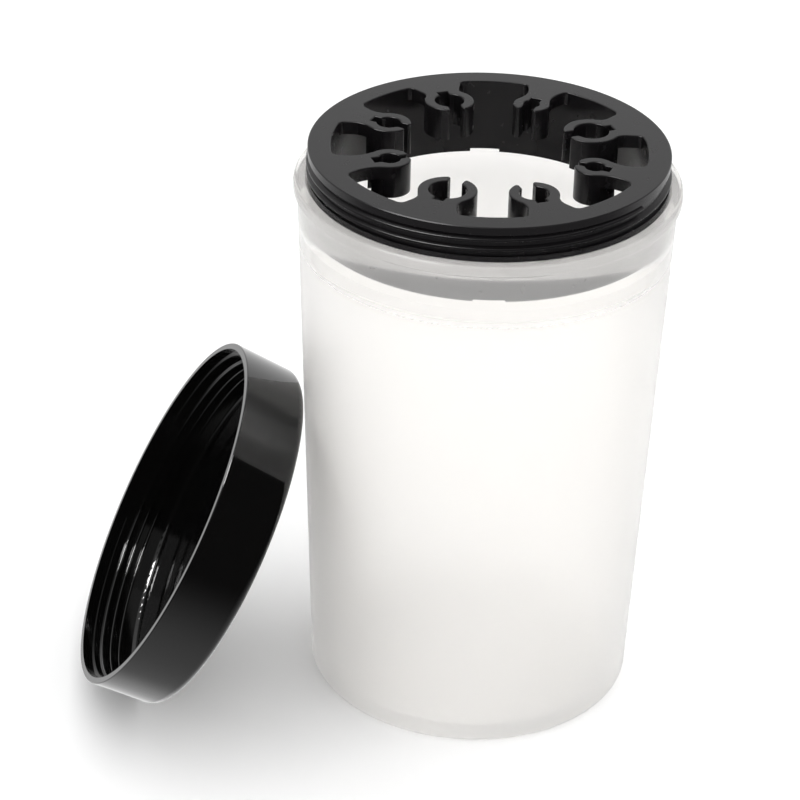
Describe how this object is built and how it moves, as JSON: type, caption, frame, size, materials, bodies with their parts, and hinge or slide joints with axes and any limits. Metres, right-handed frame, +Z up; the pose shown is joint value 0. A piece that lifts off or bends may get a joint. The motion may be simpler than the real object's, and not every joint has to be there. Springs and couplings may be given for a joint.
{
  "type": "brush cleaning cup",
  "caption": "Tapered translucent cup with a plug-in ring of graded spring clips that hold brush handles over the liquid, and a black screw lid that leans against it.",
  "frame": {"origin": "the middle of the cup's flat base, on the surface it stands on", "axes": "+Z up along the cup's axis; the lid leans on the cup's -X side; +Y is away from the viewer"},
  "size_m": [0.1106, 0.0785, 0.1092],
  "materials": {
    "frosted_plastic": "frosted translucent polypropylene, fine mist texture",
    "black_satin_plastic": "moulded black plastic, satin",
    "black_gloss_plastic": "moulded black plastic, glossy with fine handling marks"
  },
  "bodies": {
    "cup": {"cup": "frosted_plastic"},
    "holder": {"brush_holder_ring": "black_satin_plastic"},
    "lid": {"screw_lid": "black_gloss_plastic"}
  },
  "joints": [
    {"name": "holder_lift", "type": "slide", "parent": "cup", "child": "holder", "axis": [0, 0, 1], "range_m": [0, 0.04]},
    {"name": "lid_lift", "type": "slide", "parent": "cup", "child": "lid", "axis": [-0.2579, -0.0221, 0.9659], "range_m": [0, 0.12]}
  ]
}
